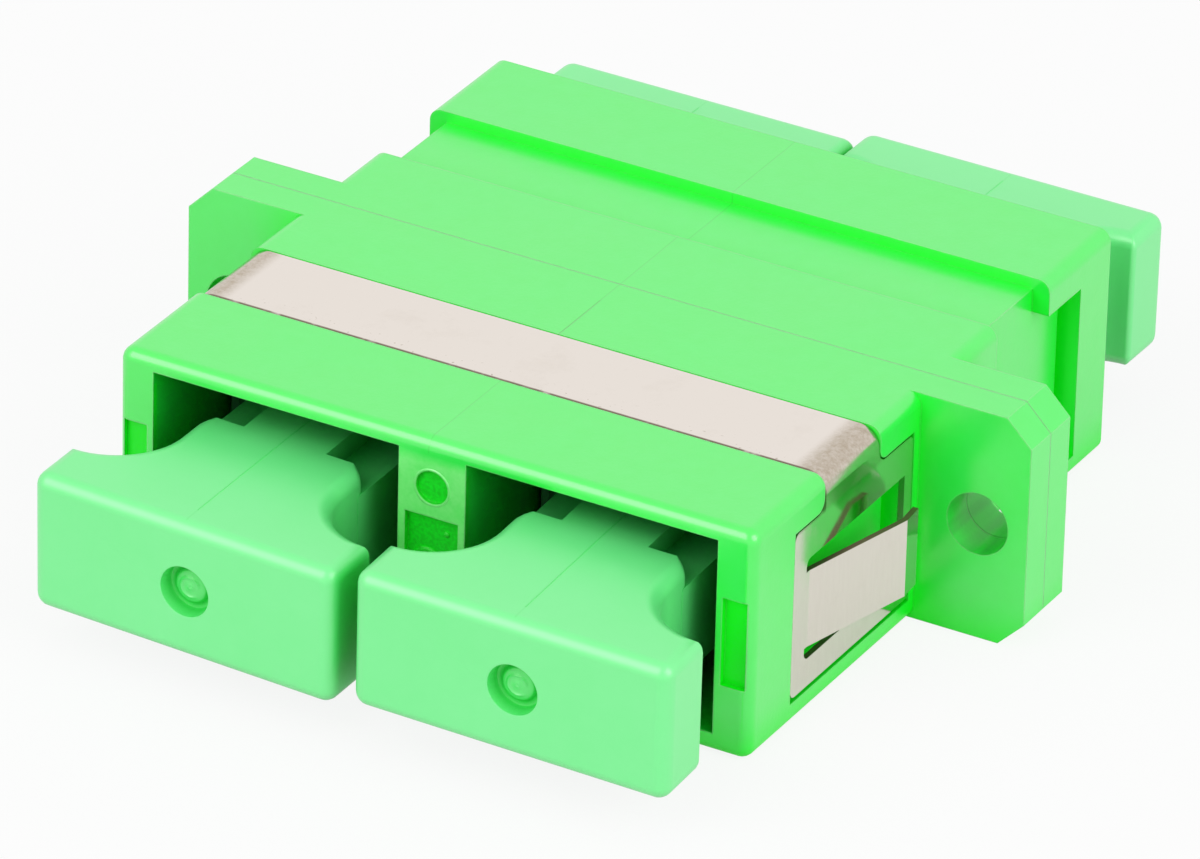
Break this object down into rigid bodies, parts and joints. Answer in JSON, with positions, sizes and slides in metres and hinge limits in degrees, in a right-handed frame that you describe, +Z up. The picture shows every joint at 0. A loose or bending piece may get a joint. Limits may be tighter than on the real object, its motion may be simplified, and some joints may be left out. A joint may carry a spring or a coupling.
{
  "type": "sc fibre adapter",
  "caption": "Duplex push-pull fibre adapter: flanged two-part body with a sprung steel panel clip, latch holders and split sleeves inside, and pull-out dust plugs.",
  "frame": {"origin": "middle of the flange's front face, midway between the two fixing holes", "axes": "+X along the flange, +Y towards the rear end, -Y towards the clip end, +Z up through the side with the clip's band"},
  "size_m": [0.0344, 0.0386, 0.009],
  "materials": {
    "housing_plastic": "moulded, semi-gloss, slightly translucent",
    "spring_steel": "rolled stainless sheet, satin",
    "holder_plastic": "moulded",
    "sleeve_ceramic": "ground ceramic",
    "plug_plastic": "soft moulded plastic, satin"
  },
  "bodies": {
    "adapter": {"front_housing": "housing_plastic", "rear_housing": "housing_plastic", "spring_clip": "spring_steel", "front_latch_holder_left": "holder_plastic", "front_latch_holder_right": "holder_plastic", "rear_latch_holder_left": "holder_plastic", "rear_latch_holder_right": "holder_plastic", "alignment_sleeve_left": "sleeve_ceramic", "alignment_sleeve_right": "sleeve_ceramic"},
    "front_dust_plug_left_body": {"front_dust_plug_left": "plug_plastic"},
    "front_dust_plug_right_body": {"front_dust_plug_right": "plug_plastic"},
    "rear_dust_plug_left_body": {"rear_dust_plug_left": "plug_plastic"},
    "rear_dust_plug_right_body": {"rear_dust_plug_right": "plug_plastic"}
  },
  "joints": [
    {"name": "front_dust_plug_left_pull", "type": "slide", "parent": "adapter", "child": "front_dust_plug_left_body", "axis": [0, -1, 0], "range_m": [0, 0.014]},
    {"name": "front_dust_plug_right_pull", "type": "slide", "parent": "adapter", "child": "front_dust_plug_right_body", "axis": [0, -1, 0], "range_m": [0, 0.014]},
    {"name": "rear_dust_plug_left_pull", "type": "slide", "parent": "adapter", "child": "rear_dust_plug_left_body", "axis": [0, 1, 0], "range_m": [0, 0.014]},
    {"name": "rear_dust_plug_right_pull", "type": "slide", "parent": "adapter", "child": "rear_dust_plug_right_body", "axis": [0, 1, 0], "range_m": [0, 0.014]}
  ]
}
